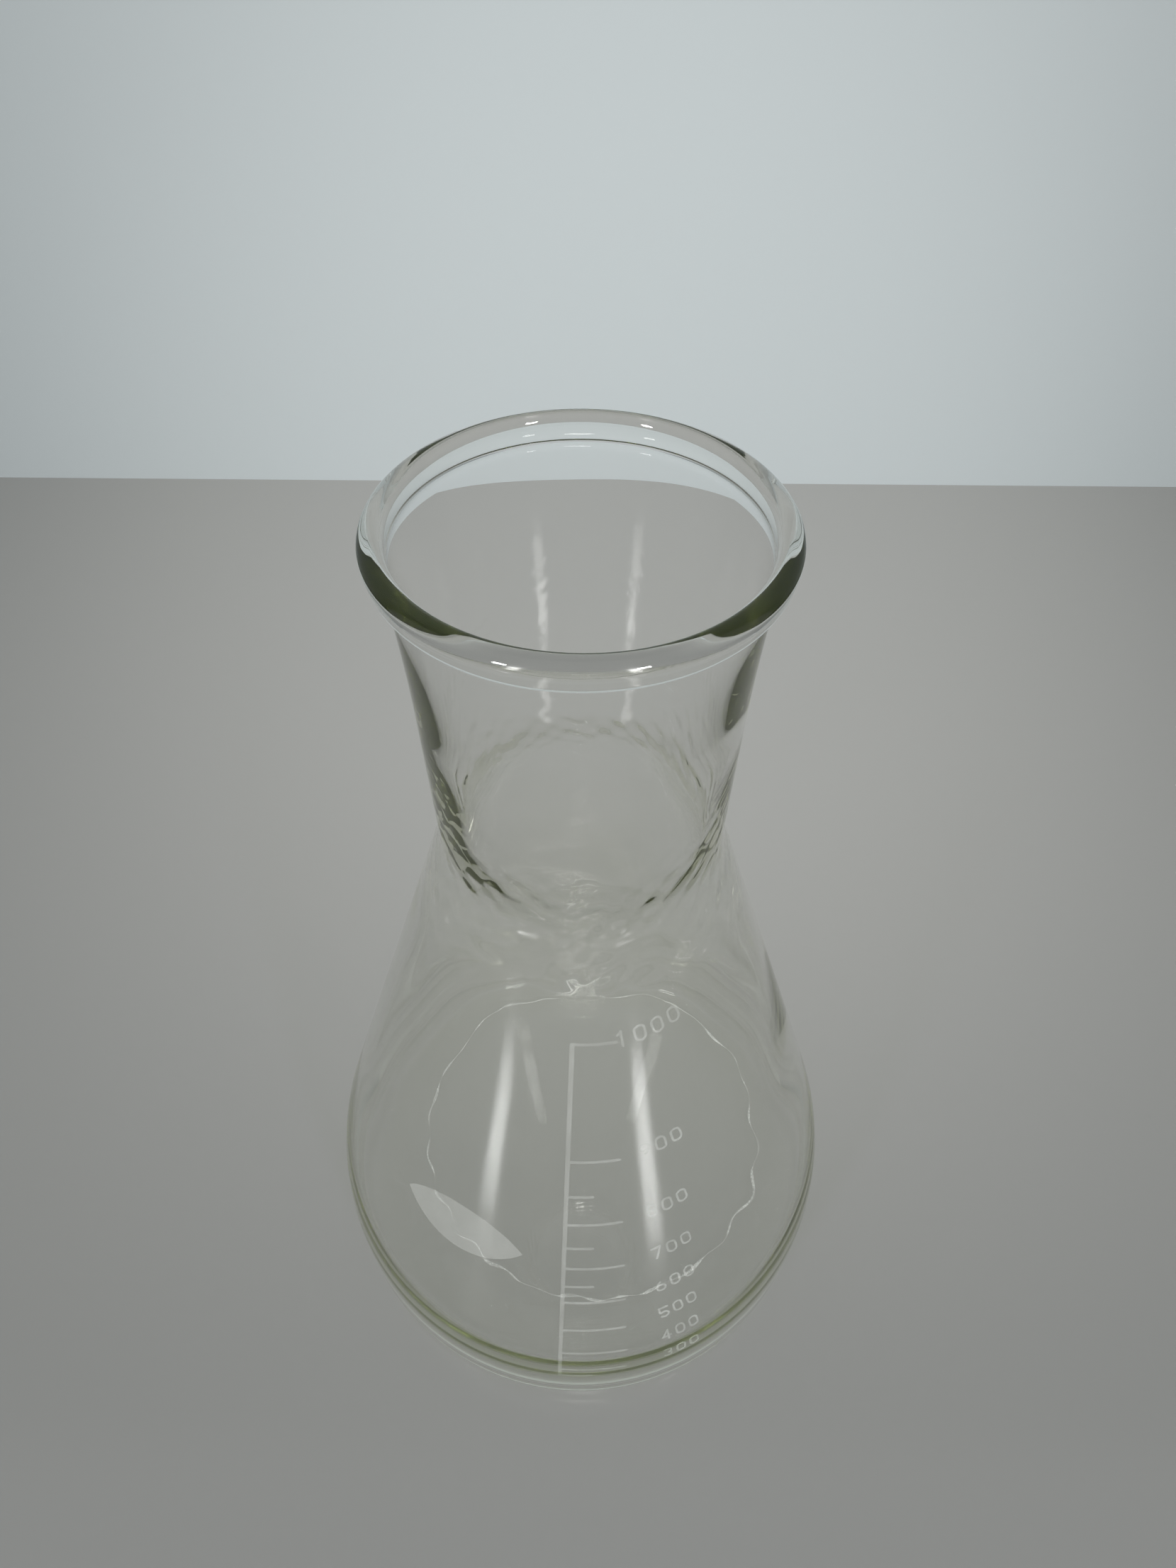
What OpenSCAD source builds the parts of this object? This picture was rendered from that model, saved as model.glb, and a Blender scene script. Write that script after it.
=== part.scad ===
// Conical flask for about one litre: a one-piece glass vessel with a wide neck and a rounded lip,
// and a fired-on enamel scale. Millimetres, +Z up, origin at the middle of the base on the table.
// The scale faces -Y.

/* [Body] */
// Height from the table to the top of the lip
height = 220; // [190:1:260]
// Diameter at the widest place, just above the base
body_od = 131; // [118:1:150]
// Height of the widest place above the table
belly_z = 18; // [14:1:26]
// Radius of the curve from the widest place into the cone
belly_radius = 68; // [50:1:100]
// Outer radius of the rounded heel
heel_radius = 7.5; // [5:0.5:12]
// Thickness of the wall
wall = 2.2; // [1.8:0.1:3.2]

/* [Base] */
// Thickness of the floor above the ring that the flask stands on
floor_thickness = 3.8; // [2.5:0.1:6]
// Inner diameter of the flat ring that the flask stands on
foot_inner_d = 100; // [80:1:108]
// Rise of the underside from that ring to its middle
push_up = 1.6; // [0.5:0.1:3]
// Radius inside the heel
inner_heel_radius = 7; // [4:0.5:12]

/* [Neck] */
// Outer diameter of the neck at its foot
neck_od = 51.8; // [44:0.2:56]
// Length from the neck's foot to the top of the lip
neck_length = 65; // [55:1:75]
// Angle by which the neck widens upwards
neck_taper = 1.3; // [0:0.1:3]
// Outer radius of the hollow curve between the cone and the neck
shoulder_radius = 20.5; // [10:0.5:35]

/* [Lip] */
// Outer diameter of the lip
lip_od = 61.4; // [59:0.2:64]
// Height of the lip, from its seat on the neck to its top
lip_height = 5.6; // [4.8:0.1:8]
// Width of the ledge under the lip
lip_ledge = 0.7; // [0.4:0.1:1.5]
// Rise of the ledge from the neck outwards
lip_ledge_rise = 0.55; // [0:0.05:0.8]
// Radius of the lip's lower edge
lip_under_radius = 1.5; // [0.8:0.1:2]
// How far the lower edge stays back from the lip's widest place
lip_lean = 0.3; // [0:0.1:0.8]
// Width of the rounding from the lip's side to its top
lip_outer_round_w = 2.3; // [1.5:0.1:3]
// Height of that rounding
lip_outer_round_h = 1.9; // [1:0.1:2.2]
// Width of the rounding from the lip's top to the mouth
lip_inner_round_w = 1.4; // [1:0.1:2]
// Height of that rounding
lip_inner_round_h = 2.2; // [1:0.1:3]
// Height of the flare, from where the neck starts to widen to the top of the lip
flare_height = 32; // [20:1:40]
// How long the inside of the flare keeps the direction of its two ends
flare_pull = 24; // [10:1:40]

/* [Scale] */
// Thickness of the fired enamel
enamel = 0.1; // [0.08:0.01:0.2]
// Gap that keeps the enamel from overlapping the curved glass
enamel_gap = 0.01; // [0.005:0.005:0.05]
// Direction of the scale's upright line, in degrees from the front
scale_turn = -3.3; // [-20:0.1:20]
// Angle by which the printed scale leans
scale_lean = 0.7; // [-1:0.1:1]
// Distance from the neck's foot down to the highest line
scale_drop = 23.7; // [20:0.1:40]
// Width of the upright line
upright_w = 0.9; // [0.5:0.1:1.5]
// Width of each level line
level_w = 0.6; // [0.4:0.1:1]
// Angle round the flask that a hundred's line takes
hundred_turn = 14.2; // [8:0.1:18]
// Angle round the flask that a fifty's line takes
fifty_turn = 7; // [4:0.1:10]

/* [Numbers] */
// Height of a digit
digit_h = 4.2; // [3:0.1:5]
// Width of a digit
digit_w = 2.5; // [2:0.1:3]
// Width of a digit's stroke
digit_stroke = 0.5; // [0.3:0.05:0.7]
// Gap between two digits
digit_gap = 1; // [0.6:0.1:1.6]
// Gap between the end of the highest line and its number
number_gap = 0.2; // [0.1:0.1:2]

/* [Marking patch] */
// Length of the pointed oval for writing on
patch_l = 30; // [20:1:36]
// Height of the pointed oval
patch_h = 15; // [10:1:18]
// Direction of its middle, in degrees from the front
patch_turn = -29.8; // [-60:0.1:-25]
// Height of its middle
patch_z = 70; // [60:1:90]

/* [Hidden] */

arc_step = 5;  // degrees between the points of an arc in the outline
arc_steps_least = 6;
turned_fn = 180;
round_fn = 32;
glass_colour = [0.80, 0.86, 0.84, 0.35];
enamel_colour = [0.93, 0.94, 0.92];

// The scale runs to the nominal volume, and is laid out as if the flask were a plain cone
nominal_ml = 1000;
cone_ml = 1053;    // volume at which that cone would close
scale_floor = 6.9; // height at which that cone holds nothing
hundreds = [for (ml = [300 : 100 : nominal_ml]) ml];
fifties = [250, 650, 750, 850];

function arc(centre, radius, from, to) =
    let (steps = max(arc_steps_least, ceil(abs(to - from) / arc_step)))
    [for (i = [0 : steps]) let (a = from + (to - from) * i / steps)
        centre + radius * [cos(a), sin(a)]];
function angle_of(v) = atan2(v[1], v[0]);

// The outer outline, as [radius, height]: heel arc, belly arc, straight cone, shoulder arc,
// straight neck, flare arc and lip. The cone touches the belly arc and ends at the neck's foot.
// The lip has a narrow ledge under it, and its top is two quarters of an ellipse.
body_r = body_od / 2;
heel_centre = [body_r - heel_radius, heel_radius];
belly_centre = [body_r - belly_radius, belly_z];
neck_foot = [neck_od / 2, height - neck_length];
to_foot = neck_foot - belly_centre;
cone_lean = angle_of(to_foot) - acos(belly_radius / norm(to_foot));
cone_out = [cos(cone_lean), sin(cone_lean)];
neck_out = [cos(neck_taper), -sin(neck_taper)];
neck_up = [sin(neck_taper), cos(neck_taper)];
shoulder_centre = neck_foot + shoulder_radius * (cone_out + neck_out) / (1 + cone_out * neck_out);
lip_r = lip_od / 2;
lip_under = [lip_r - lip_lean - lip_under_radius, height - lip_height + lip_ledge_rise];
crease = lip_under - [lip_ledge, lip_ledge_rise];
crown_r = lip_r - lip_outer_round_w;
outer_round_centre = [crown_r, height - lip_outer_round_h];
inner_round_centre = [crown_r, height - lip_inner_round_h];
mouth = inner_round_centre - [lip_inner_round_w, 0];
// The flare arc leaves the neck's line and ends in the crease under the lip
flare_start = neck_foot + neck_up * (height - flare_height - neck_foot[1]) / neck_up[1];
to_crease = crease - flare_start;
flare_radius = to_crease * to_crease / (2 * to_crease * neck_out);
flare_centre = flare_start + flare_radius * neck_out;
flare_end = angle_of(crease - flare_centre);

// A quarter of an ellipse, from an angle a right angle onwards
quarter_steps = 12;
function quarter(centre, w, h, from) =
    [for (i = [0 : quarter_steps]) let (a = from + 90 * i / quarter_steps)
        centre + [w * cos(a), h * sin(a)]];

// A cubic curve that leaves start along start_way and reaches end along end_way
sweep_steps = 24;
function sweep(start, start_way, end, end_way) =
    [for (i = [0 : sweep_steps]) let (t = i / sweep_steps)
        (2 * t * t * t - 3 * t * t + 1) * start + (t * t * t - 2 * t * t + t) * start_way
        + (3 * t * t - 2 * t * t * t) * end + (t * t * t - t * t) * end_way];

// The side of the flask from belly to shoulder, moved inwards by depth
function side(depth) = concat(
    arc(belly_centre, belly_radius - depth, 0, cone_lean),
    arc(shoulder_centre, shoulder_radius + depth, 180 + cone_lean, 180 - neck_taper));
// Goes over the lip and down into the mouth as far as the straight part of the neck
outside = concat(
    arc(heel_centre, heel_radius, -90, 0),
    side(0),
    arc(flare_centre, flare_radius, 180 - neck_taper, flare_end),
    arc(lip_under + [0, lip_under_radius], lip_under_radius, -90, 0),
    quarter(outer_round_centre, lip_outer_round_w, lip_outer_round_h, 0),
    quarter(inner_round_centre, lip_inner_round_w, lip_inner_round_h, 90),
    sweep(mouth, [0, -flare_pull], flare_start - wall * neck_out, -flare_pull * neck_up));
inner_heel_centre = [body_r - wall - inner_heel_radius, floor_thickness + inner_heel_radius];
inside = concat(
    arc(inner_heel_centre, inner_heel_radius, -90, 0),
    side(wall));

// The middle of the underside and the floor rise together in one long arc
foot_r = foot_inner_d / 2;
rise_radius = (foot_r * foot_r + push_up * push_up) / (2 * push_up);
rise_steps = 8;
function rise(r) = push_up - rise_radius + sqrt(rise_radius * rise_radius - r * r);
function raised(z, out) = [for (i = [0 : rise_steps])
    let (r = foot_r * (out ? i : rise_steps - i) / rise_steps) [r, z + rise(r)]];

// Radius and lean of the outside at a height between the widest place and the shoulder
cone_start = belly_centre + belly_radius * cone_out;
function lean_at(z) = z < cone_start[1] ? asin((z - belly_z) / belly_radius) : cone_lean;
function radius_at(z) = z < cone_start[1]
    ? belly_centre[0] + belly_radius * cos(lean_at(z))
    : cone_start[0] - (z - cone_start[1]) * tan(cone_lean);

// Height of the level line for a volume
scale_top = neck_foot[1] - scale_drop;
function emptied(ml) = 1 - pow(1 - ml / cone_ml, 1 / 3);
function level_z(ml) =
    scale_floor + (scale_top - scale_floor) * emptied(ml) / emptied(nominal_ml);
scale_bottom = level_z(min(fifties)) - level_w / 2;

// The numbers stand in a column, middle over middle, and the highest and longest one clears its line
function degrees(arc_length, radius) = arc_length / radius * 180 / PI;
function digits(n) = n < 10 ? [n] : concat(digits(floor(n / 10)), [n % 10]);
digit_pitch = digit_w + digit_gap;
longest = len(digits(nominal_ml)) * digit_pitch - digit_gap;
number_turn = hundred_turn + degrees(number_gap + longest / 2, radius_at(scale_top));

// One-piece glass vessel, open at the lip
module flask_body() {
    color(glass_colour)
        rotate_extrude($fn = turned_fn)
            polygon(concat(raised(0, true), outside, [for (i = [len(inside) - 1 : -1 : 0]) inside[i]],
                raised(floor_thickness, false)));
}

// A skin of enamel all round the outside, from which the printed shapes are cut
module enamel_skin() {
    back = side(-enamel_gap);
    face = side(-enamel_gap - enamel);
    rotate_extrude($fn = turned_fn)
        polygon(concat(
            [[back[0][0], heel_radius], [face[0][0], heel_radius]], face,
            [for (i = [len(back) - 1 : -1 : 0]) back[i]]));
}

// Prints its 2-D children on the front of the glass. They are drawn as seen from the front, with
// x to the right of the scale's upright line and y as the height above the table.
module print_front() {
    middle = (scale_top + scale_bottom) / 2;
    color(enamel_colour)
        intersection() {
            enamel_skin();
            rotate([0, 0, scale_turn])
                rotate([90, 0, 0])
                    linear_extrude(body_od)
                        translate([0, middle])
                            rotate(-scale_lean)
                                translate([0, -middle])
                                    children();
        }
}

// Prints its 2-D children square to the glass, centred at a direction and a height and turned
module print_at(turn, z, tilt = 0) {
    color(enamel_colour)
        intersection() {
            enamel_skin();
            rotate([0, 0, turn])
                translate([0, -radius_at(z), z])
                    rotate([90 - lean_at(z), 0, 0])
                        linear_extrude(body_od / 8, center = true)
                            rotate(tilt)
                                children();
        }
}

// Level lines that start at the right edge of the upright line
module level_lines(volumes, turn) {
    for (ml = volumes)
        translate([upright_w / 2, level_z(ml) - level_w / 2])
            square([radius_at(level_z(ml)) * sin(turn) - upright_w / 2, level_w]);
}

// The upright line of the scale
module scale_line() {
    print_front()
        translate([-upright_w / 2, scale_bottom])
            square([upright_w, scale_top + level_w / 2 - scale_bottom]);
}

// The long lines, one for each hundred
module hundred_marks() {
    print_front() level_lines(hundreds, hundred_turn);
}

// The short lines at some of the fifties
module fifty_marks() {
    print_front() level_lines(fifties, fifty_turn);
}

// A straight stroke between two points
module stroke(from, to) {
    way = to - from;
    translate(from)
        rotate(angle_of(way))
            translate([-digit_stroke / 2, -digit_stroke / 2])
                square([norm(way) + digit_stroke, digit_stroke]);
}

// A round stroke: part of a ring, from one angle to another, under 360 degrees
module bow(centre, radius, from, to) {
    reach = 2 * radius + digit_stroke;
    translate(centre)
        intersection() {
            difference() {
                circle(radius + digit_stroke / 2, $fn = round_fn);
                circle(radius - digit_stroke / 2, $fn = round_fn);
            }
            polygon(concat([[0, 0]],
                [for (i = [0 : 6]) let (a = from + (to - from) * i / 6) reach * [cos(a), sin(a)]]));
        }
}

// One digit, centred, from strokes whose middle lines keep inside its height and width
module digit(n) {
    x = (digit_w - digit_stroke) / 2;
    y = (digit_h - digit_stroke) / 2;
    if (n == 0) {
        bow([0, y - x], x, 0, 180);
        bow([0, x - y], x, 180, 360);
        stroke([-x, x - y], [-x, y - x]);
        stroke([x, x - y], [x, y - x]);
    }
    if (n == 1) {
        stroke([0, -y], [0, y]);
        stroke([-x * 0.7, y * 0.6], [0, y]);
    }
    if (n == 3) {
        bow([0, y / 2], y / 2, -90, 150);
        bow([0, -y / 2], y / 2, -150, 90);
    }
    if (n == 4) {
        stroke([x * 0.4, -y], [x * 0.4, y]);
        stroke([-x, -y * 0.35], [x, -y * 0.35]);
        stroke([-x, -y * 0.35], [x * 0.4, y]);
    }
    if (n == 5) {
        stroke([-x, y], [x, y]);
        stroke([-x, y], [-x, y * 0.1]);
        bow([0, x - y], x, -150, 150);
    }
    if (n == 6) {
        bow([0, x - y], x, 0, 180);
        bow([0, x - y], x, 180, 360);
        bow([y - x * 0.2, x - y], y + x * 0.8, 125, 180);
    }
    if (n == 7) {
        stroke([-x, y], [x, y]);
        stroke([x, y], [-x * 0.3, -y]);
    }
    if (n == 8) {
        bow([0, y / 2], y / 2, 0, 180);
        bow([0, y / 2], y / 2, 180, 360);
        bow([0, -y / 2], y / 2, 0, 180);
        bow([0, -y / 2], y / 2, 180, 360);
    }
    if (n == 9)
        rotate(180)
            digit(6);
}

// The number beside each hundred's line. The print was flat, so on the cone its row climbs away
// from the level line the further it is from the upright line, and its digits tilt with it.
module numerals() {
    for (ml = hundreds) {
        z = level_z(ml);
        shown = digits(ml);
        for (i = [0 : len(shown) - 1]) {
            turn = number_turn + degrees((i - (len(shown) - 1) / 2) * digit_pitch, radius_at(z));
            bend = turn * sin(lean_at(z));
            climb = radius_at(z) * turn / 2 * PI / 180 * tan(bend) * cos(lean_at(z));
            print_at(scale_turn + turn, z + climb, bend)
                digit(shown[i]);
        }
    }
}

// The plain enamel patch for writing on, a pointed oval between two arcs
module marking_patch() {
    bend = (patch_l * patch_l / 4 + patch_h * patch_h / 4) / patch_h;
    print_at(patch_turn, patch_z)
        intersection_for (side_of = [-1, 1])
            translate([0, side_of * (bend - patch_h / 2)])
                circle(bend, $fn = 3 * round_fn);
}

flask_body();
scale_line();
hundred_marks();
fifty_marks();
numerals();
marking_patch();
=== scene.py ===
# %% [markdown]
# # A conical flask
# The flask is one piece of blown glass with a scale printed on it. This lesson dresses its measured
# model: the glass becomes a thick, slightly uneven shell that bends light, and the print becomes a
# worn film of enamel. Every length is in metres, with +Z up and the middle of the base at the origin.

# %% Load the measured model
import math

import bpy
import numpy as np
from mathutils import Matrix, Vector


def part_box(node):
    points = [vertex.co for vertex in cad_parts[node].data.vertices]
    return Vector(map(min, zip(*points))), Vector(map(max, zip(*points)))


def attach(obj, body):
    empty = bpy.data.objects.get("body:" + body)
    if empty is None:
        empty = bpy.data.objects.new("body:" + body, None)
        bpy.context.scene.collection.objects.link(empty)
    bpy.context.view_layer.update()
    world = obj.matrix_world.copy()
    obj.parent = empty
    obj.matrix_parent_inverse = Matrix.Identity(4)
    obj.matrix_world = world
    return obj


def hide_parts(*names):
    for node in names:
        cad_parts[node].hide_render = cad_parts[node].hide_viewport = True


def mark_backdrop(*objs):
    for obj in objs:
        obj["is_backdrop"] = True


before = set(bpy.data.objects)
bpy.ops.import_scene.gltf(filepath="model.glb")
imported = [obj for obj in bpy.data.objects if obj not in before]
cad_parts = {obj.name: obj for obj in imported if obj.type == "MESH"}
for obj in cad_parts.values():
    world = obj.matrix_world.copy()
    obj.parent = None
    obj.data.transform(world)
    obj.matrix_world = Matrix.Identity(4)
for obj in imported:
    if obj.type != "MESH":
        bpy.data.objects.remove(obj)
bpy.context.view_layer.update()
MM = 0.001
flask_low, flask_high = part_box("flask_body")
height = flask_high[2]
body_r = (flask_high[0] - flask_low[0]) / 2
print(f"flask: {body_r * 2 / MM:.1f} mm across, {height / MM:.1f} mm high")

# %% [markdown]
# ## Camera
# The flask is seen from close by and from above, so its mouth looks larger than its base. A wide
# lens at a short distance gives that view. The camera leans by half a degree, as a hand does.

# %% Camera
CAMERA_PLACE = (1.21 * MM, -117.83 * MM, 299.08 * MM)
CAMERA_DOWN = 48.748  # degrees below the horizon
CAMERA_ROLL = 0.468  # degrees
FRAME_HEIGHT = 2212
FOCAL_PIXELS = 1420
SENSOR_SIZE = 36.0  # millimetres along the frame's longer side
NEAREST = 5 * MM

camera = bpy.data.objects.new("camera", bpy.data.cameras.new("camera"))
bpy.context.scene.collection.objects.link(camera)
camera.data.sensor_width = SENSOR_SIZE
camera.data.lens = SENSOR_SIZE * FOCAL_PIXELS / FRAME_HEIGHT
camera.data.clip_start = NEAREST
camera.location = CAMERA_PLACE
tilt = Matrix.Rotation(math.radians(90 - CAMERA_DOWN), 3, "X")
roll = Matrix.Rotation(math.radians(CAMERA_ROLL), 3, "Z")
camera.rotation_euler = (tilt @ roll).to_euler()
bpy.context.scene.camera = camera
print(f"lens {camera.data.lens:.2f} mm")

# %% [markdown]
# ## Helpers for node trees
# Each material is a small graph. These helpers add a node, set its plain sockets and join it up, so
# that a material reads as a list of what it is made of.


# %% Node helpers
def new_material(name):
    """An empty node material with its output, as (material, nodes, output)."""
    made = bpy.data.materials.new(name)
    made.use_nodes = True
    made.node_tree.nodes.clear()
    output = made.node_tree.nodes.new("ShaderNodeOutputMaterial")
    return made, made.node_tree, output


def add(tree, kind, settings=None, **sockets):
    """Adds a node. settings are its own properties, and sockets are inputs by name, as values."""
    node = tree.nodes.new(kind)
    for key, value in (settings or {}).items():
        setattr(node, key, value)
    for key, value in sockets.items():
        node.inputs[key.replace("_", " ")].default_value = value
    return node


def join(tree, source, output, target, socket):
    """Links one node's output to another's input."""
    tree.links.new(source.outputs[output], target.inputs[socket])


# %% [markdown]
# ## Table and wall
# Clear glass shows what stands behind it, so a flask needs a plain ground to be seen against: a grey
# table, and a pale wall some way behind. The table has a soft sheen. The wall is one-sided, so that
# it doesn't block a view from behind.

# %% Stage
TABLE_COLOUR = (0.305, 0.301, 0.286, 1)
TABLE_ROUGHNESS = 0.13
WALL_COLOUR = (0.45, 0.485, 0.49, 1)
TABLE_DROP = 0.15 * MM  # keeps the table's face off the glass that stands on it
WALL_BEHIND = 360 * MM
STAGE_HALF = 3.0  # metres from the flask to the table's edge, and the wall's height


def stage_sheet(name, corners, material):
    """A flat four-cornered sheet that isn't part of the object."""
    mesh = bpy.data.meshes.new(name)
    mesh.from_pydata(corners, [], [(0, 1, 2, 3)])
    mesh.materials.append(material)
    sheet = bpy.data.objects.new(name, mesh)
    bpy.context.scene.collection.objects.link(sheet)
    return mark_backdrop(sheet)


table_paint, tree, output = new_material("table_laminate")
skin = add(tree, "ShaderNodeBsdfPrincipled", Base_Color=TABLE_COLOUR, Roughness=TABLE_ROUGHNESS)
join(tree, skin, "BSDF", output, "Surface")

wall_paint, tree, output = new_material("wall_paint")
skin = add(tree, "ShaderNodeBsdfDiffuse", Color=WALL_COLOUR)
clear = add(tree, "ShaderNodeBsdfTransparent")
side = add(tree, "ShaderNodeNewGeometry")
pick = add(tree, "ShaderNodeMixShader")
join(tree, side, "Backfacing", pick, 0)
join(tree, skin, "BSDF", pick, 1)
join(tree, clear, "BSDF", pick, 2)
join(tree, pick, "Shader", output, "Surface")

far = STAGE_HALF
foot_z = -TABLE_DROP
table_corners = [(-far, -far, foot_z), (far, -far, foot_z), (far, far, foot_z), (-far, far, foot_z)]
wall_corners = [(x, WALL_BEHIND, z) for x, z in ((-far, foot_z), (far, foot_z), (far, far), (-far, far))]
stage_sheet("table", table_corners, table_paint)
stage_sheet("wall", wall_corners, wall_paint)
print(f"stage: table {2 * far:.0f} m wide, wall {WALL_BEHIND / MM:.0f} mm behind the flask")

# %% [markdown]
# ## Light
# Most of the light is the even light of a pale room. Two lamps stand in front, to the left and to
# the right. On glass they show only as highlights, so each is small and bright, and the table's
# sheen sends them up into the flask a second time, from below. A soft spot makes a pool of light on
# the back of the table and the foot of the wall. Thick glass needs many bounces, or it goes black.

# %% Lights
ROOM_COLOUR = (0.93, 0.97, 1.0, 1)
ROOM_STRENGTH = 0.55
LAMP_FAR = 1.6  # metres from the flask
LAMP_WIDTH = 0.15
LAMP_LENGTH = 0.26
LAMP_POWER = 7
LAMPS = {"lamp_left": (-38, 31), "lamp_right": (30, 31)}  # degrees from the front, degrees up
POOL_PLACE = (0.02, -0.5, 1.0)
POOL_DOWN = 39.2  # degrees from straight down, towards the wall
POOL_CONE = 34  # degrees
POOL_POWER = 40
POOL_RADIUS = 0.1
BOUNCES = 256  # light turns many times inside a thick lip before it gets out
SEE_THROUGH_BOUNCES = 32

world = bpy.data.worlds.new("room")
world.use_nodes = True
world.node_tree.nodes["Background"].inputs["Color"].default_value = ROOM_COLOUR
world.node_tree.nodes["Background"].inputs["Strength"].default_value = ROOM_STRENGTH
bpy.context.scene.world = world


def place_light(light, place, turns):
    """Puts a light into the scene at a place, turned by Euler angles in radians."""
    made = bpy.data.objects.new(light.name, light)
    bpy.context.scene.collection.objects.link(made)
    made.location = place
    made.rotation_euler = turns
    return made


def lamp(name, turn, rise):
    """A rectangular lamp that faces the flask from a direction, in degrees from the front and up."""
    light = bpy.data.lights.new(name, "AREA")
    light.shape = "RECTANGLE"
    light.size = LAMP_WIDTH
    light.size_y = LAMP_LENGTH
    light.energy = LAMP_POWER
    turn = math.radians(turn)
    rise = math.radians(rise)
    flat = LAMP_FAR * math.cos(rise)
    place = (flat * math.sin(turn), -flat * math.cos(turn), LAMP_FAR * math.sin(rise))
    return place_light(light, place, (math.pi / 2 - rise, 0, turn))


for name, (turn, rise) in LAMPS.items():
    lamp(name, turn, rise)

pool = bpy.data.lights.new("pool", "SPOT")
pool.energy = POOL_POWER
pool.spot_size = math.radians(POOL_CONE)
pool.spot_blend = 1.0
pool.shadow_soft_size = POOL_RADIUS
place_light(pool, POOL_PLACE, (math.radians(POOL_DOWN), 0, 0)).visible_glossy = False

bpy.context.scene.view_settings.view_transform = "Standard"
bpy.context.scene.cycles.max_bounces = BOUNCES
bpy.context.scene.cycles.transmission_bounces = BOUNCES
bpy.context.scene.cycles.glossy_bounces = BOUNCES
bpy.context.scene.cycles.transparent_max_bounces = SEE_THROUGH_BOUNCES
print(f"lights: {len(LAMPS)} lamps, a pool and the room")

# %% [markdown]
# ## The outline of the glass
# A flask is round, so its whole shape is one closed outline carried round the axis. The outline is
# made of arcs that touch each other: heel, belly, shoulder, flare and lip outside, and the same
# arcs one wall further in on the inside. The sizes are those of the measured model, apart from the
# tighter inner corner of the heel, which holds the glass that gathers there.

# %% Outline
WALL = 2.2 * MM
FLOOR = 3.8 * MM
FOOT_R = 50 * MM
PUSH_UP = 1.6 * MM
BELLY_Z = 18 * MM
BELLY_RADIUS = 68 * MM
HEEL_RADIUS = 7.5 * MM
INNER_HEEL_RADIUS = 5 * MM
NECK_R = 25.9 * MM
NECK_LENGTH = 65 * MM
NECK_TAPER = math.radians(1.3)
SHOULDER_RADIUS = 20.5 * MM
FLARE_HEIGHT = 32 * MM  # from where the neck starts to widen up to the top of the lip
FLARE_PULL = 24 * MM
LIP_R = 30.7 * MM
LIP_HEIGHT = 5.6 * MM
LIP_LEAN = 0.3 * MM
LIP_LEDGE = 0.7 * MM
LIP_LEDGE_RISE = 0.55 * MM
LIP_UNDER_RADIUS = 1.5 * MM
OUTER_ROUND = np.array([2.3, 1.9]) * MM  # width and height of the rounded top's outer half
INNER_ROUND = np.array([1.4, 2.2]) * MM  # and of its inner half
ARC_STEP = 0.2 * MM
QUARTER_POINTS = 24
SWEEP_POINTS = 60
DOME_POINTS = 60


def angle_of(way):
    """Direction of a 2-D vector, in radians."""
    return math.atan2(way[1], way[0])


def arc(centre, radius, start, end):
    """Points along a circle, centre + radius * (cos a, sin a), for a from start to end."""
    count = max(2, math.ceil(radius * abs(end - start) / ARC_STEP) + 1)
    a = np.linspace(start, end, count)
    return np.stack([centre[0] + radius * np.cos(a), centre[1] + radius * np.sin(a)], axis=1)


belly_centre = np.array([body_r - BELLY_RADIUS, BELLY_Z])
neck_foot = np.array([NECK_R, height - NECK_LENGTH])
to_foot = neck_foot - belly_centre
cone_lean = angle_of(to_foot) - math.acos(BELLY_RADIUS / np.linalg.norm(to_foot))
cone_out = np.array([math.cos(cone_lean), math.sin(cone_lean)])
neck_out = np.array([math.cos(NECK_TAPER), -math.sin(NECK_TAPER)])
neck_up = np.array([math.sin(NECK_TAPER), math.cos(NECK_TAPER)])
shoulder_centre = neck_foot + SHOULDER_RADIUS * (cone_out + neck_out) / (1 + cone_out @ neck_out)

# The lip is a band with a narrow ledge under it, and its top is two quarters of an ellipse
lip_under = np.array([LIP_R - LIP_LEAN - LIP_UNDER_RADIUS, height - LIP_HEIGHT + LIP_LEDGE_RISE])
crease = lip_under - [LIP_LEDGE, LIP_LEDGE_RISE]
crown_r = LIP_R - OUTER_ROUND[0]
mouth = np.array([crown_r - INNER_ROUND[0], height - INNER_ROUND[1]])

# The flare starts on the neck's line and ends at the crease under the lip
flare_start = neck_foot + neck_up * ((height - FLARE_HEIGHT - neck_foot[1]) / neck_up[1])
to_crease = crease - flare_start
flare_radius = to_crease @ to_crease / (2 * (to_crease @ neck_out))
flare_centre = flare_start + flare_radius * neck_out
flare_end = angle_of(crease - flare_centre)
print(f"flare radius {flare_radius / MM:.1f} mm, mouth {mouth[0] * 2 / MM:.1f} mm across")
heel_centre = np.array([body_r - HEEL_RADIUS, HEEL_RADIUS])
inner_heel_centre = np.array([body_r - WALL - INNER_HEEL_RADIUS, FLOOR + INNER_HEEL_RADIUS])


def side_of_flask(depth):
    """Belly and shoulder arcs, moved inwards by depth. Straight lines join them."""
    return np.concatenate([
        arc(belly_centre, BELLY_RADIUS - depth, 0, cone_lean),
        arc(shoulder_centre, SHOULDER_RADIUS + depth, math.pi + cone_lean, math.pi - NECK_TAPER),
    ])


def quarter(centre, reach, rise, start, end):
    """Part of an ellipse, centre + (reach cos a, rise sin a), for a from start to end."""
    a = np.linspace(start, end, QUARTER_POINTS)
    return np.stack([centre[0] + reach * np.cos(a), centre[1] + rise * np.sin(a)], axis=1)


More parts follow.
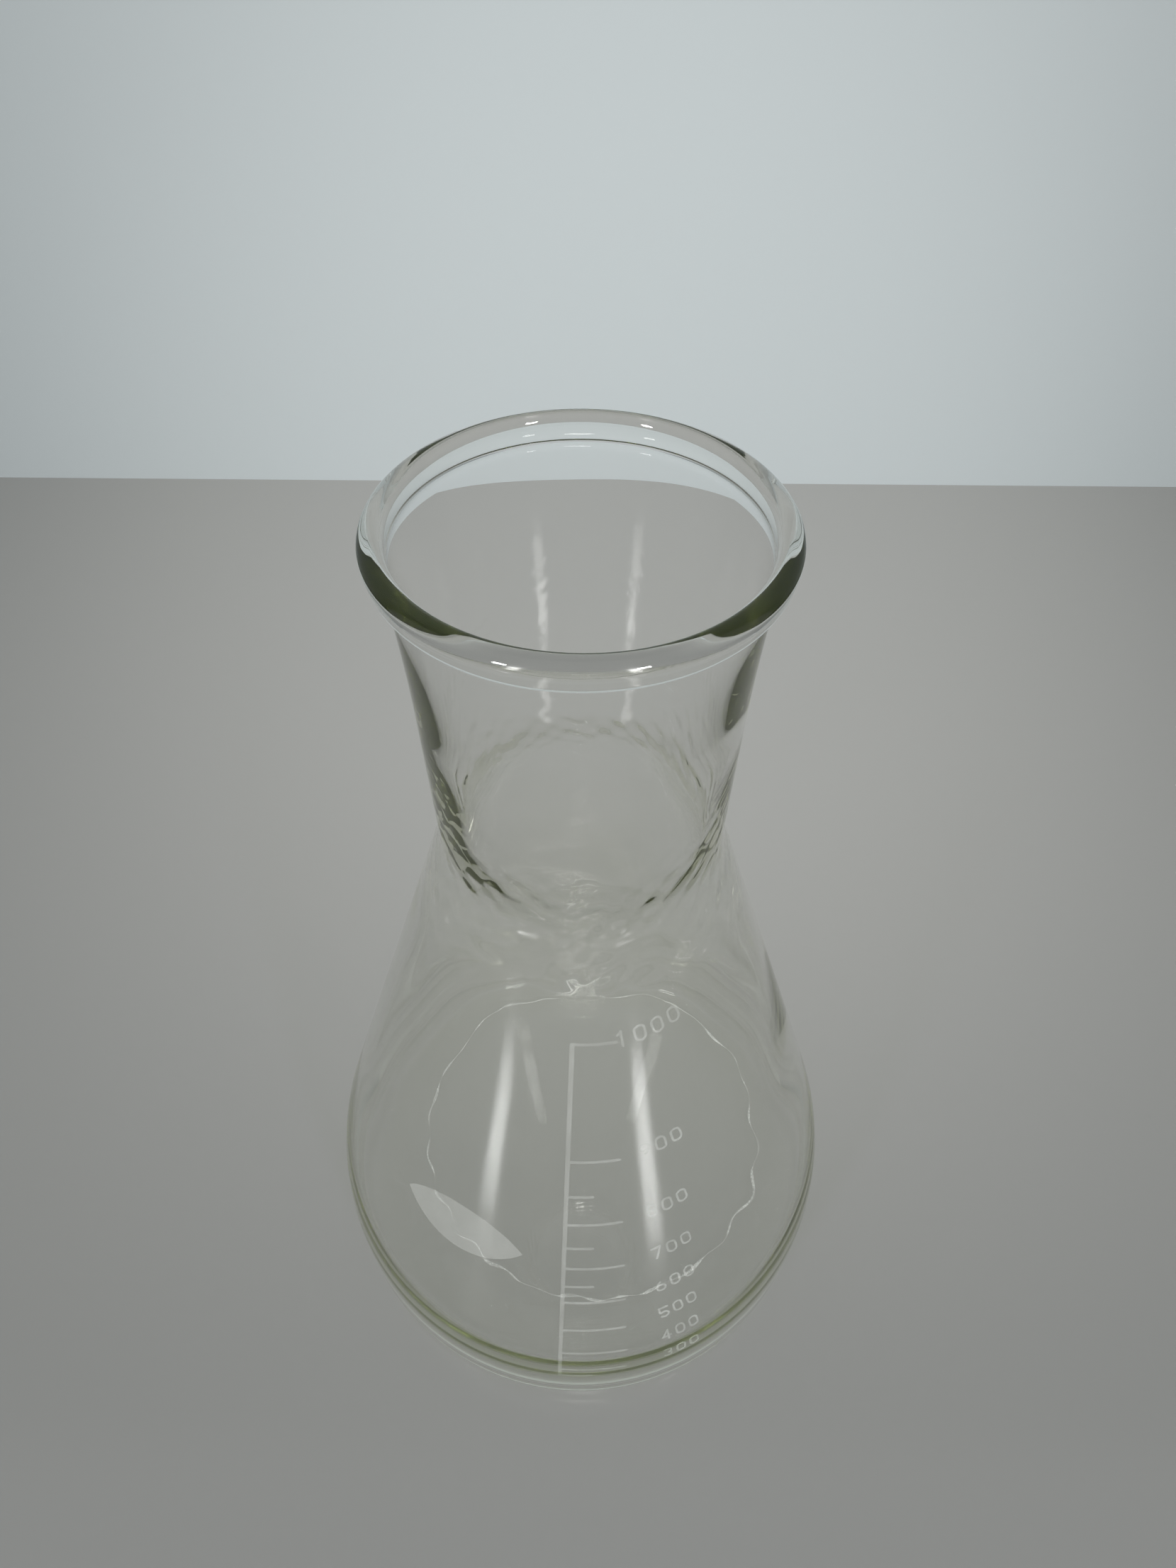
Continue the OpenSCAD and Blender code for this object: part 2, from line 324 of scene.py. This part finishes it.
def sweep(start, start_way, end, end_way):
    """A cubic curve that leaves start along start_way and reaches end along end_way: each end and
    each way times its own cubic in t, for t from 0 to 1."""
    t = np.linspace(0, 1, SWEEP_POINTS)[:, None]
    return (
        (2 * t**3 - 3 * t**2 + 1) * start
        + (t**3 - 2 * t**2 + t) * np.array(start_way)
        + (3 * t**2 - 2 * t**3) * end
        + (t**3 - t**2) * end_way
    )


def dome(z):
    """The low dome of the underside or the floor, from the axis out to the foot: a ball's cap
    that is PUSH_UP high and FOOT_R wide."""
    radius = (FOOT_R**2 + PUSH_UP**2) / (2 * PUSH_UP)
    r = np.linspace(0, FOOT_R, DOME_POINTS)
    return np.stack([r, z + PUSH_UP - radius + np.sqrt(radius**2 - r**2)], axis=1)


outline = np.concatenate([
    dome(0),
    arc(heel_centre, HEEL_RADIUS, -math.pi / 2, 0),
    side_of_flask(0),
    arc(flare_centre, flare_radius, math.pi - NECK_TAPER, flare_end),
    arc(lip_under + [0, LIP_UNDER_RADIUS], LIP_UNDER_RADIUS, -math.pi / 2, 0),
    quarter((crown_r, height - OUTER_ROUND[1]), *OUTER_ROUND, 0, math.pi / 2),
    quarter((crown_r, height - INNER_ROUND[1]), *INNER_ROUND, math.pi / 2, math.pi),
    sweep(mouth, (0, -FLARE_PULL), flare_start - WALL * neck_out, -FLARE_PULL * neck_up),
    side_of_flask(WALL)[::-1],
    arc(inner_heel_centre, INNER_HEEL_RADIUS, -math.pi / 2, 0)[::-1],
    dome(FLOOR)[::-1],
])
print(f"outline: {len(outline)} points")

# %% [markdown]
# ## Rows where the shape needs them
# The grid has one row for each point of the outline, so the points are spread again: close together
# on the lip, the heel and the shoulder, where the glass turns quickly, and wide apart on the cone.

# %% Spread the outline's points
ROWS = 372
COLUMNS = 264
CLOSE = 0.55 * MM
WIDE = 2.6 * MM
LIP_SPAN = 9 * MM  # how far the close rows reach from the lip
HEEL_R = body_r - 6 * MM  # the middle of the heel's close rows, and their reach in r and in z
HEEL_Z = 4 * MM
HEEL_SPAN_R = 12 * MM
HEEL_SPAN_Z = 9 * MM
SHOULDER_Z = height - NECK_LENGTH
SHOULDER_SPAN = 16 * MM
SHOULDER_NEED = 0.6
FINE_STEPS = 20000
SAME_POINT = 1e-9  # metres


def bump(x, middle, width):
    """A smooth hump, exp(-((x - middle) / width) squared)."""
    return np.exp(-(((x - middle) / width) ** 2))


steps = np.linalg.norm(np.diff(outline, axis=0), axis=1)
outline = outline[np.concatenate([[True], steps > SAME_POINT])]
steps = np.linalg.norm(np.diff(outline, axis=0), axis=1)
along = np.concatenate([[0], np.cumsum(steps)])
fine = np.linspace(0, along[-1], FINE_STEPS)
fine_r = np.interp(fine, along, outline[:, 0])
fine_z = np.interp(fine, along, outline[:, 1])
need = (
    bump(fine_z, height, LIP_SPAN)
    + bump(fine_z, HEEL_Z, HEEL_SPAN_Z) * bump(fine_r, HEEL_R, HEEL_SPAN_R)
    + SHOULDER_NEED * bump(fine_z, SHOULDER_Z, SHOULDER_SPAN)
)
density = 1 / WIDE + (1 / CLOSE - 1 / WIDE) * np.clip(need, 0, 1)
share = np.concatenate([[0], np.cumsum(0.5 * (density[1:] + density[:-1]) * np.diff(fine))])
places = np.interp(np.linspace(0, share[-1], ROWS), share, fine)
profile = np.stack([np.interp(places, fine, fine_r), np.interp(places, fine, fine_z)], axis=1)
gaps = np.diff(places) / MM
print(f"rows: {ROWS}, from {gaps.min():.2f} to {gaps.max():.2f} mm apart")

# %% [markdown]
# ## Waves and ramps
# Two small functions shape everything that is uneven. A sum of cosines of random pitch and phase
# gives a natural ripple with no seam, because each goes round the flask a whole number of times. A
# ramp limits it to one part of the wall. The seed is fixed, so each run gives the same flask.

# %% Waves and ramps
SEED = 12
PITCH_SPREAD = 2.5

rng = np.random.default_rng(SEED)


def waves(theta, s, turns, pitch, count, depth):
    """A sum of count cosines of random phase, cos(k theta + 2 pi s / p + phase), scaled to about
    depth. k is up to turns a circle and p at least pitch."""
    total = np.zeros(np.broadcast(theta, s).shape)
    for _ in range(count):
        k = rng.integers(-turns, turns + 1)
        p = pitch * rng.uniform(1, PITCH_SPREAD) * rng.choice([-1, 1])
        total += np.cos(k * theta + 2 * np.pi * s / p + rng.uniform(0, 2 * np.pi))
    return depth * total / math.sqrt(count / 2)


def ramp(x, start, width):
    """0 up to start, 1 from start + width on, and a straight line between."""
    return np.clip((x - start) / width, 0, 1)


# %% [markdown]
# ## Unevenness of blown glass
# A blown flask isn't perfectly smooth. Its wall is a little thicker here and thinner there, and its
# shoulder holds the fine ripples of the mould. Glass also gathers on the inside of the shoulder and
# of the heel, and thins in the neck, which is drawn out last. All of it is added up as one push,
# which moves each point along its own normal.

# %% Unevenness
SLOW = (4, 60 * MM, 10, 0.06 * MM)  # turns, pitch, count and depth of each kind of wave
RIPPLE = (30, 5 * MM, 26, 0.035 * MM)
DENTS = (36, 4 * MM, 30, 0.05 * MM)
RIPPLE_SPAN = 13 * MM
SHOULDER_GATHER = (152 * MM, 10 * MM, 0.8 * MM)  # height, reach up and down, and glass added
HEEL_GATHER = (10 * MM, 14 * MM, 1.5 * MM)
NECK_GATHER = (188 * MM, 14 * MM, -0.45 * MM)
FLOOR_EDGE = (46 * MM, 10 * MM)  # start and width of a ramp in r: the floor's middle stays plain
OFF_AXIS = (15 * MM, 8 * MM)
OFF_FLOOR = (25 * MM, 30 * MM)  # and of a ramp in z

theta = np.linspace(0, 2 * np.pi, COLUMNS, endpoint=False)[None, :]
s = places[:, None]
r = profile[:, 0][:, None]
z = profile[:, 1][:, None]
tangent = np.gradient(profile, places, axis=0)
outward = np.stack([tangent[:, 1], -tangent[:, 0]], axis=1)
outward /= np.linalg.norm(outward, axis=1)[:, None]

lip_row = int(np.argmax(profile[:, 1]))
inside = (np.arange(ROWS) > lip_row)[:, None].astype(float)
shoulder = bump(z, SHOULDER_Z, RIPPLE_SPAN)
off_axis = ramp(r, *OFF_AXIS)

push = waves(theta, s, *SLOW) * inside * off_axis * ramp(z, *OFF_FLOOR)
push = push + waves(theta, s, *RIPPLE) * inside * shoulder
push = push + waves(theta, s, *DENTS) * (1 - inside) * shoulder
for (middle, reach, added), part in (
    (SHOULDER_GATHER, 1),
    (HEEL_GATHER, ramp(r, *FLOOR_EDGE)),
    (NECK_GATHER, off_axis),
):
    push = push + added * inside * bump(z, middle, reach) * part

radius = r + push * outward[:, 0][:, None]
level = z + push * outward[:, 1][:, None]
radius[0, :] = 0
radius[-1, :] = 0
outside_push = np.abs(push * (1 - inside)).max()
print(f"unevenness: up to {outside_push / MM:.2f} mm outside, {np.abs(push).max() / MM:.2f} inside")

# %% [markdown]
# ## The glass as a mesh
# The rows and columns become one closed skin: outside and inside are a single surface that turns
# over at the lip, because light bends where it enters glass and again where it leaves it. Row and
# column make a grid of four-cornered faces, and each pole is closed with a fan of triangles.

# %% Glass mesh


def glass_piece(name, verts, faces):
    """A smooth mesh of glass that rides on the flask's body, from points and faces."""
    mesh = bpy.data.meshes.new(name)
    mesh.from_pydata(verts.tolist(), [], faces)
    mesh.shade_smooth()
    mesh.update()
    piece = bpy.data.objects.new(name, mesh)
    bpy.context.scene.collection.objects.link(piece)
    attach(piece, "root")
    return piece


points = np.stack([radius * np.cos(theta), radius * np.sin(theta), level + 0 * theta], axis=2)
verts = np.concatenate([points[1:-1].reshape(-1, 3), [points[0].mean(axis=0), points[-1].mean(axis=0)]])
grid = np.arange((ROWS - 2) * COLUMNS).reshape(ROWS - 2, COLUMNS)
after = np.roll(grid, -1, axis=1)
quads = np.stack([grid[:-1], after[:-1], after[1:], grid[1:]], axis=2).reshape(-1, 4)
low_pole = np.full(COLUMNS, len(verts) - 2)
caps = np.concatenate([
    np.stack([after[0], grid[0], low_pole], axis=1),
    np.stack([grid[-1], after[-1], low_pole + 1], axis=1),
])
shell = glass_piece("glass_shell", verts, quads.tolist() + caps.tolist())
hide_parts("flask_body")

# Each face and the origin span a small pyramid, and the pyramids add up to the volume
a, b, c, d = (verts[quads[:, corner]] for corner in range(4))
volume = (np.cross(b, c) * a + np.cross(c, d) * a).sum() / 6
print(f"glass: {len(quads) * 2 + len(caps)} triangles, {volume * 1e6:.1f} cubic centimetres")

# %% [markdown]
# ## Crooked line on the floor
# Where the glass bubble met the plate under it, the floor keeps a fine raised line. It runs round
# the floor as a crooked ring, which lies further out towards the right and the back. A ridge this
# fine would need far more rows in the glass, so it is a narrow ridged ribbon that lies on the floor.

# %% Floor line
RING_R = 48.9 * MM
RING_REACH = 7.4 * MM  # how much further out it lies at its furthest
RING_TURN = math.radians(65)
RING_CROOK = (26, 60 * MM, 16, 0.5 * MM)  # turns, pitch, count and depth of its waves
RING_WIDTH = 0.3 * MM
RING_SWELL = (40, 60 * MM, 12, 0.5)  # and of the waves of its width
RING_SHARES = (0.6, 0.15, 1.4)  # the width's middle, least and most, as a share of RING_WIDTH
RING_HEIGHT = 0.15 * MM
RING_EDGE = 0.02 * MM  # keeps its edges just clear of the floor
RING_STEPS = 900
FLOOR_BAND = 2 * MM  # rows this close to the floor's level belong to the floor

turn = np.linspace(0, 2 * np.pi, RING_STEPS, endpoint=False)[None, :]
crook = RING_R + RING_REACH * np.cos(turn - RING_TURN) + waves(turn, 0 * turn, *RING_CROOK)
middle, least, most = RING_SHARES
width = RING_WIDTH * np.clip(middle + waves(turn, 0 * turn, *RING_SWELL), least, most)
ring_r = crook + np.array([[-1], [0], [1]]) * width
on_floor = (inside[:, 0] > 0) & (profile[:, 1] < FLOOR + FLOOR_BAND)
ring_z = np.interp(ring_r, radius[on_floor, 0][::-1], level[on_floor, 0][::-1])
ring_z = ring_z + np.array([[RING_EDGE], [RING_HEIGHT], [RING_EDGE]])
ring_points = np.stack([ring_r * np.cos(turn), ring_r * np.sin(turn), ring_z], axis=2)
ring_grid = np.arange(3 * RING_STEPS).reshape(3, RING_STEPS)
ring_next = np.roll(ring_grid, -1, axis=1)
ring_quads = np.stack([ring_grid[:-1], ring_grid[1:], ring_next[1:], ring_next[:-1]], axis=2)
floor_line = glass_piece("floor_line", ring_points.reshape(-1, 3), ring_quads.reshape(-1, 4).tolist())
print(f"floor line: {crook.min() / MM:.1f} to {crook.max() / MM:.1f} mm from the axis")

# %% [markdown]
# ## Glass
# Clear glass bends the light that enters it and swallows a little of it on the way, more of the blue
# than of the green. Through one wall that is hardly seen, but along a wall or through the lip
# it adds up to olive. So the colour is in the volume, not on the surface. The rays that light the
# table go straight through, because a real flask lets nearly all of that light past.

# %% Glass material
GLASS_IOR = 1.474
GLASS_TINT = (0.56, 0.59, 0.35, 1)
GLASS_DENSITY = 18.0  # a metre

glass, tree, output = new_material("clear_glass")
body = add(
    tree, "ShaderNodeBsdfPrincipled",
    Base_Color=(1, 1, 1, 1), Roughness=0.0, IOR=GLASS_IOR, Transmission_Weight=1.0,
)
straight = add(tree, "ShaderNodeBsdfTransparent", Color=(1, 1, 1, 1))
path = add(tree, "ShaderNodeLightPath")
lighting = add(tree, "ShaderNodeMath", {"operation": "MAXIMUM"})
pick = add(tree, "ShaderNodeMixShader")
depth = add(tree, "ShaderNodeVolumeAbsorption", Color=GLASS_TINT, Density=GLASS_DENSITY)
join(tree, path, "Is Shadow Ray", lighting, 0)
join(tree, path, "Is Diffuse Ray", lighting, 1)
join(tree, lighting, 0, pick, 0)
join(tree, body, "BSDF", pick, 1)
join(tree, straight, "BSDF", pick, 2)
join(tree, pick, "Shader", output, "Surface")
join(tree, depth, "Volume", output, "Volume")
shell.data.materials.append(glass)
blue_loss = GLASS_DENSITY * (1 - GLASS_TINT[2])
print(f"glass: index {GLASS_IOR}, absorbs {blue_loss:.1f} a metre of the blue")

# %% [markdown]
# ## How the print wears
# The print is white enamel, fired onto the glass and rubbed thin by years of washing, most of all
# near the top, where the hand holds the flask. It is a see-through film: a slow noise thins it in
# patches, a fine one lets pinholes through, and it fades with height. Every mark wears in this way,
# so it is one node group that gives the film's cover.

# %% Worn film
PATCH_SCALE = 140.0  # a metre
PINHOLE_SCALE = 2600.0
WEAR_FROM = 0.18  # noise below this is rubbed off, and above WEAR_TO it is whole
WEAR_TO = 0.36
FADE_FROM = 70 * MM
FADE_TO = 120 * MM
FADE_LEFT = 0.68  # share of the cover that is left above FADE_TO

# the same group also breaks up the painted highlight on the floor line, below
worn = bpy.data.node_groups.new("worn_film", "ShaderNodeTree")
for name, way in (("Cover", "INPUT"), ("Wear", "INPUT"), ("Alpha", "OUTPUT")):
    worn.interface.new_socket(name=name, socket_type="NodeSocketFloat", in_out=way)
group_in = worn.nodes.new("NodeGroupInput")
group_out = worn.nodes.new("NodeGroupOutput")
where = add(worn, "ShaderNodeTexCoord")
patchy = add(worn, "ShaderNodeTexNoise", Scale=PATCH_SCALE, Detail=3.0)
speckle = add(worn, "ShaderNodeTexNoise", Scale=PINHOLE_SCALE, Detail=1.0)
both = add(worn, "ShaderNodeMath", {"operation": "MULTIPLY"})
spread = add(
    worn, "ShaderNodeMapRange", From_Min=WEAR_FROM, From_Max=WEAR_TO, To_Min=0.0, To_Max=1.0
)
loss = add(worn, "ShaderNodeMix", {"data_type": "FLOAT"})
cover = add(worn, "ShaderNodeMath", {"operation": "MULTIPLY"})
split = add(worn, "ShaderNodeSeparateXYZ")
higher = add(
    worn, "ShaderNodeMapRange", From_Min=FADE_FROM, From_Max=FADE_TO, To_Min=1.0, To_Max=FADE_LEFT
)
thinned = add(worn, "ShaderNodeMath", {"operation": "MULTIPLY"})
join(worn, where, "Object", patchy, "Vector")
join(worn, where, "Object", speckle, "Vector")
join(worn, patchy, "Fac", both, 0)
join(worn, speckle, "Fac", both, 1)
join(worn, both, 0, spread, "Value")
join(worn, group_in, "Wear", loss, 0)
loss.inputs[2].default_value = 1.0  # inputs 2 and 3 are the two numbers that it mixes
join(worn, spread, "Result", loss, 3)
join(worn, loss, 0, cover, 0)
join(worn, group_in, "Cover", cover, 1)
join(worn, where, "Object", split, "Vector")
join(worn, split, "Z", higher, "Value")
join(worn, cover, 0, thinned, 0)
join(worn, higher, "Result", thinned, 1)
join(worn, thinned, 0, group_out, "Alpha")
print(f"worn film: {len(worn.nodes)} nodes")

# %% [markdown]
# ## Enamel
# Each kind of mark has its own cover and wear, because thick strokes last longer than fine lines.
# The raised line on the floor catches the light as a pale, broken thread. That is a painted highlight: a
# white film of the same kind, with more cover and more wear, lies on the line.

# %% Enamel material
ENAMEL_COLOUR = (0.86, 0.87, 0.83, 1)
ENAMEL_ROUGHNESS = 0.5
ENAMEL_COVER = {  # cover and wear, each 0 to 1
    "scale_line": (0.12, 0.5),
    "hundred_marks": (0.14, 0.6),
    "fifty_marks": (0.12, 0.6),
    "numerals": (0.20, 0.6),
    "marking_patch": (0.12, 0.3),
}
# cover and wear of the white film that paints the highlight on the floor line
FLOOR_LINE_HIGHLIGHT_COVER = (0.55, 0.8)


def enamel(name, cover, wear):
    """A white film of a given cover, 0 to 1, of which wear is patchy: enamel for the print, and a
    painted highlight on the floor line.
    """
    made, tree, output = new_material(name)
    film = add(
        tree, "ShaderNodeBsdfPrincipled", Base_Color=ENAMEL_COLOUR, Roughness=ENAMEL_ROUGHNESS
    )
    rub = tree.nodes.new("ShaderNodeGroup")
    rub.node_tree = worn
    rub.inputs["Cover"].default_value = cover
    rub.inputs["Wear"].default_value = wear
    join(tree, rub, "Alpha", film, "Alpha")
    join(tree, film, "BSDF", output, "Surface")
    return made


for node, values in ENAMEL_COVER.items():
    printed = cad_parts[node]
    printed.data.materials.clear()
    printed.data.materials.append(enamel(f"enamel_{node}", *values))
# the floor line's white film is a painted highlight, not enamel
floor_line.data.materials.append(enamel("floor_line_painted_highlight", *FLOOR_LINE_HIGHLIGHT_COVER))
print(f"enamel on {len(ENAMEL_COVER)} nodes")
